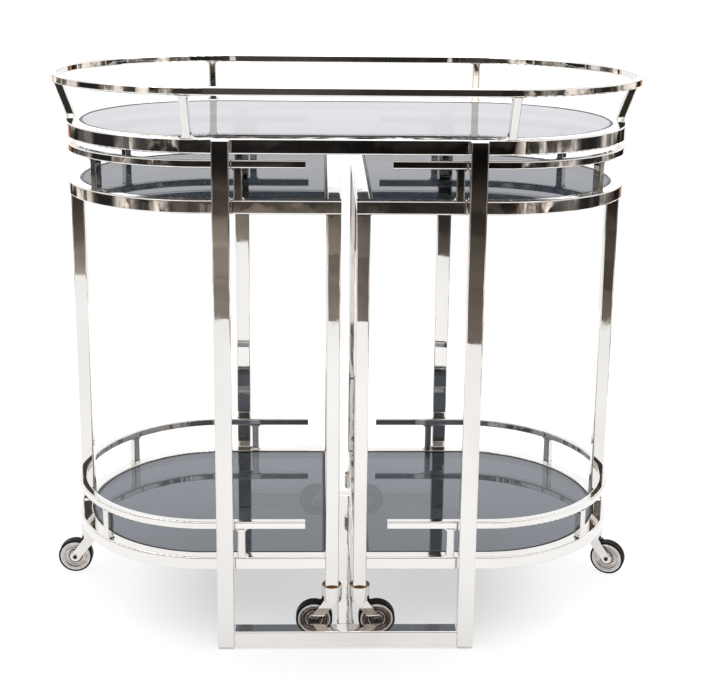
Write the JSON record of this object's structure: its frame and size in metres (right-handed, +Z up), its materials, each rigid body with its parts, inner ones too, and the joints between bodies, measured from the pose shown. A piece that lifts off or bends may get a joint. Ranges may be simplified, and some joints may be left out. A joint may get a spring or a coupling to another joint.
{
  "type": "bar cart on wheels",
  "caption": "Polished metal bar cart: a fixed glass-topped racetrack tray frame with half-oval shelf carts on swivel casters nested under it.",
  "frame": {"origin": "on the floor at the middle of the footprint", "axes": "+X to the right along the long side, -Y to the front, +Z up"},
  "size_m": [0.9557, 0.523, 0.846],
  "materials": {
    "polished_tube": "mirror polished",
    "polished_bar": "mirror polished",
    "cart_tube": "mirror polished",
    "caster_chrome": "bright plated",
    "wheel_metal": "satin plated",
    "tyre_rubber": "matte",
    "glazing_rubber": "matte",
    "foot_plastic": "satin",
    "smoked_glass": "smoked, polished",
    "cart_glass_upper": "smoked, polished",
    "cart_glass_lower": "smoked, polished"
  },
  "bodies": {
    "frame": {"tray_ring": "polished_tube", "tray_glass": "smoked_glass", "tray_glazing_strip": "glazing_rubber", "tray_gallery_rail": "polished_bar", "tray_gallery_posts": "polished_bar", "front_left_frame_leg": "polished_tube", "front_right_frame_leg": "polished_tube", "rear_left_frame_leg": "polished_tube", "rear_right_frame_leg": "polished_tube", "front_base_rail": "polished_tube", "rear_base_rail": "polished_tube", "base_spine": "polished_tube", "foot_glides": "foot_plastic"},
    "left_cart": {"left_upper_ring": "cart_tube", "left_lower_ring": "cart_tube", "left_upper_glass": "cart_glass_upper", "left_lower_glass": "cart_glass_lower", "left_glazing_strips": "glazing_rubber", "left_upper_gallery": "polished_bar", "left_lower_gallery": "polished_bar", "left_gallery_posts": "polished_bar", "left_outer_leg": "cart_tube", "left_front_leg": "cart_tube", "left_rear_leg": "cart_tube", "left_leg_cups": "caster_chrome"},
    "left_outer_swivel": {"left_outer_fork": "caster_chrome"},
    "left_outer_wheel_body": {"left_outer_wheel": "wheel_metal", "left_outer_tyre": "tyre_rubber"},
    "left_front_swivel": {"left_front_fork": "caster_chrome"},
    "left_front_wheel_body": {"left_front_wheel": "wheel_metal", "left_front_tyre": "tyre_rubber"},
    "left_rear_swivel": {"left_rear_fork": "caster_chrome"},
    "left_rear_wheel_body": {"left_rear_wheel": "wheel_metal", "left_rear_tyre": "tyre_rubber"},
    "right_cart": {"right_upper_ring": "cart_tube", "right_lower_ring": "cart_tube", "right_upper_glass": "cart_glass_upper", "right_lower_glass": "cart_glass_lower", "right_glazing_strips": "glazing_rubber", "right_upper_gallery": "polished_bar", "right_lower_gallery": "polished_bar", "right_gallery_posts": "polished_bar", "right_outer_leg": "cart_tube", "right_front_leg": "cart_tube", "right_rear_leg": "cart_tube", "right_leg_cups": "caster_chrome"},
    "right_outer_swivel": {"right_outer_fork": "caster_chrome"},
    "right_outer_wheel_body": {"right_outer_wheel": "wheel_metal", "right_outer_tyre": "tyre_rubber"},
    "right_front_swivel": {"right_front_fork": "caster_chrome"},
    "right_front_wheel_body": {"right_front_wheel": "wheel_metal", "right_front_tyre": "tyre_rubber"},
    "right_rear_swivel": {"right_rear_fork": "caster_chrome"},
    "right_rear_wheel_body": {"right_rear_wheel": "wheel_metal", "right_rear_tyre": "tyre_rubber"}
  },
  "joints": [
    {"name": "left_cart_roll", "type": "slide", "parent": "frame", "child": "left_cart", "axis": [-1, 0, 0], "range_m": [0, 0.6]},
    {"name": "left_outer_swivel_turn", "type": "hinge", "parent": "left_cart", "child": "left_outer_swivel", "pos_m": [-0.424, 0, 0.06], "axis": [0, 0, 1], "continuous": true},
    {"name": "left_outer_wheel_spin", "type": "hinge", "parent": "left_outer_swivel", "child": "left_outer_wheel_body", "pos_m": [-0.451, 0, 0.028], "axis": [0, 1, 0], "continuous": true},
    {"name": "left_front_swivel_turn", "type": "hinge", "parent": "left_cart", "child": "left_front_swivel", "pos_m": [-0.021, -0.214, 0.06], "axis": [0, 0, 1], "range_deg": [-72, 12]},
    {"name": "left_front_wheel_spin", "type": "hinge", "parent": "left_front_swivel", "child": "left_front_wheel_body", "pos_m": [-0.048, -0.214, 0.028], "axis": [0, 1, 0], "continuous": true},
    {"name": "left_rear_swivel_turn", "type": "hinge", "parent": "left_cart", "child": "left_rear_swivel", "pos_m": [-0.021, 0.214, 0.06], "axis": [0, 0, 1], "range_deg": [-12, 72]},
    {"name": "left_rear_wheel_spin", "type": "hinge", "parent": "left_rear_swivel", "child": "left_rear_wheel_body", "pos_m": [-0.048, 0.214, 0.028], "axis": [0, 1, 0], "continuous": true},
    {"name": "right_cart_roll", "type": "slide", "parent": "frame", "child": "right_cart", "axis": [1, 0, 0], "range_m": [0, 0.6]},
    {"name": "right_outer_swivel_turn", "type": "hinge", "parent": "right_cart", "child": "right_outer_swivel", "pos_m": [0.424, 0, 0.06], "axis": [0, 0, 1], "continuous": true},
    {"name": "right_outer_wheel_spin", "type": "hinge", "parent": "right_outer_swivel", "child": "right_outer_wheel_body", "pos_m": [0.44847, -0.01141, 0.028], "axis": [0.4226, 0.9063, 0], "continuous": true},
    {"name": "right_front_swivel_turn", "type": "hinge", "parent": "right_cart", "child": "right_front_swivel", "pos_m": [0.021, -0.214, 0.06], "axis": [0, 0, 1], "range_deg": [-12, 72]},
    {"name": "right_front_wheel_spin", "type": "hinge", "parent": "right_front_swivel", "child": "right_front_wheel_body", "pos_m": [0.048, -0.214, 0.028], "axis": [0, 1, 0], "continuous": true},
    {"name": "right_rear_swivel_turn", "type": "hinge", "parent": "right_cart", "child": "right_rear_swivel", "pos_m": [0.021, 0.214, 0.06], "axis": [0, 0, 1], "range_deg": [-72, 12]},
    {"name": "right_rear_wheel_spin", "type": "hinge", "parent": "right_rear_swivel", "child": "right_rear_wheel_body", "pos_m": [0.048, 0.214, 0.028], "axis": [0, 1, 0], "continuous": true}
  ]
}
